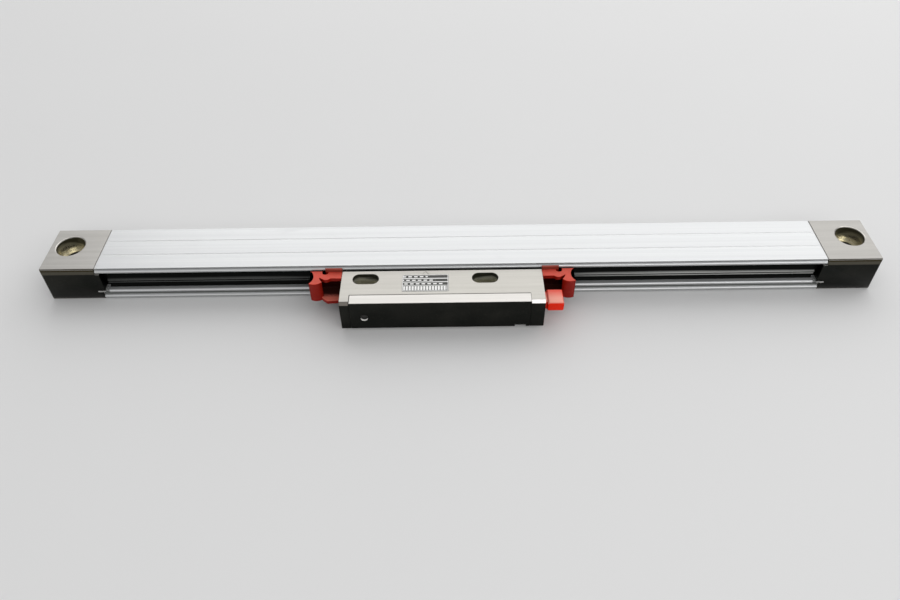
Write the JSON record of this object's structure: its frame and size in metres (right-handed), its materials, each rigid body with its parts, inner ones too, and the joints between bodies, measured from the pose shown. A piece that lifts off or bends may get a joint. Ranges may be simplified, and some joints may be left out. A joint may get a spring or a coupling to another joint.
{
  "type": "linear glass scale",
  "caption": "Slim sealed linear encoder: glass scale in an aluminium extrusion with steel end blocks, and a mounting block on a sliding scanning carriage held by red shipping braces.",
  "frame": {"origin": "on the mounting face, midway between the two fixing holes", "axes": "+X along the scale, to the right seen from the mounting block; -Y towards the mounting block; +Z away from the mounting face, towards the screw heads"},
  "size_m": [0.358, 0.0462, 0.018],
  "materials": {
    "anodised_aluminium": "fine satin anodised extrusion",
    "end_block_steel": "ground, warm grey",
    "block_metal": "machined, matt",
    "cover_metal": "machined, matt",
    "dark_steel": "black oxide",
    "bright_steel": "bright",
    "bearing_steel": "polished",
    "black_rubber": "matt",
    "seal_lip": "smooth, slight sheen",
    "scale_glass": "polished",
    "grey_plastic": "moulded",
    "black_plastic": "moulded",
    "circuit_board": "solder resist",
    "brass": "plain",
    "brace_red": "moulded, satin",
    "cap_red": "moulded, semi-gloss",
    "label_film": "printed foil with plain bars"
  },
  "bodies": {
    "housing": {"scale_housing": "anodised_aluminium", "end_block_left": "end_block_steel", "end_block_right": "end_block_steel", "end_gaskets": "black_rubber", "end_block_screws": "dark_steel", "air_port_plugs": "dark_steel", "glass_scale": "scale_glass", "scale_bond": "black_rubber", "upper_sealing_lip": "seal_lip", "lower_sealing_lip": "seal_lip", "lip_clamps": "bright_steel"},
    "carriage": {"scanning_yoke": "grey_plastic", "bearing_pins": "bright_steel", "bearing_inner_rings": "bearing_steel", "light_source": "brass", "condenser_lens": "scale_glass", "scanning_reticle": "scale_glass", "sensor_board": "circuit_board", "photo_sensor": "black_plastic", "coupling_bracket": "bright_steel", "coupling_spring": "brass", "coupling_blade": "bright_steel", "mounting_block": "block_metal", "interface_board": "circuit_board", "cover_gasket": "black_rubber", "block_cover": "cover_metal", "cover_screw": "bright_steel", "connector_socket": "black_plastic", "connector_pins": "brass", "label_plate": "label_film"},
    "face_bearing_left_ring": {"face_bearing_left": "bearing_steel"},
    "face_bearing_right_ring": {"face_bearing_right": "bearing_steel"},
    "face_bearing_middle_ring": {"face_bearing_middle": "bearing_steel"},
    "edge_bearing_left_ring": {"edge_bearing_left": "bearing_steel"},
    "edge_bearing_right_ring": {"edge_bearing_right": "bearing_steel"},
    "brace_left": {"shipping_brace_left": "brace_red"},
    "brace_right": {"shipping_brace_right": "brace_red"},
    "cap": {"connector_cap": "cap_red"}
  },
  "joints": [
    {"name": "carriage_slide", "type": "slide", "parent": "housing", "child": "carriage", "axis": [1, 0, 0], "range_m": [-0.104, 0.12]},
    {"name": "face_bearing_left_roll", "type": "hinge", "parent": "carriage", "child": "face_bearing_left_ring", "pos_m": [-0.0341, 0.0059, 0.01274], "axis": [0, 1, 0], "continuous": true},
    {"name": "face_bearing_right_roll", "type": "hinge", "parent": "carriage", "child": "face_bearing_right_ring", "pos_m": [0.0179, 0.0059, 0.01274], "axis": [0, 1, 0], "continuous": true},
    {"name": "face_bearing_middle_roll", "type": "hinge", "parent": "carriage", "child": "face_bearing_middle_ring", "pos_m": [0.0089, 0.0011, 0.01274], "axis": [0, 1, 0], "continuous": true},
    {"name": "edge_bearing_left_roll", "type": "hinge", "parent": "carriage", "child": "edge_bearing_left_ring", "pos_m": [-0.0301, -0.00384, 0.009], "axis": [0, 0, 1], "continuous": true},
    {"name": "edge_bearing_right_roll", "type": "hinge", "parent": "carriage", "child": "edge_bearing_right_ring", "pos_m": [0.0139, -0.00384, 0.009], "axis": [0, 0, 1], "continuous": true},
    {"name": "brace_left_pull", "type": "slide", "parent": "carriage", "child": "brace_left", "axis": [-1, 0, 0], "range_m": [0, 0.014]},
    {"name": "brace_right_pull", "type": "slide", "parent": "carriage", "child": "brace_right", "axis": [1, 0, 0], "range_m": [0, 0.014]},
    {"name": "cap_pull", "type": "slide", "parent": "carriage", "child": "cap", "axis": [1, 0, 0], "range_m": [0, 0.01]}
  ],
  "couplings": [
    {"joint": "face_bearing_left_roll", "follows": "carriage_slide", "rad_per_m": 400},
    {"joint": "face_bearing_right_roll", "follows": "carriage_slide", "rad_per_m": 400},
    {"joint": "face_bearing_middle_roll", "follows": "carriage_slide", "rad_per_m": 400},
    {"joint": "edge_bearing_left_roll", "follows": "carriage_slide", "rad_per_m": 400},
    {"joint": "edge_bearing_right_roll", "follows": "carriage_slide", "rad_per_m": 400}
  ]
}
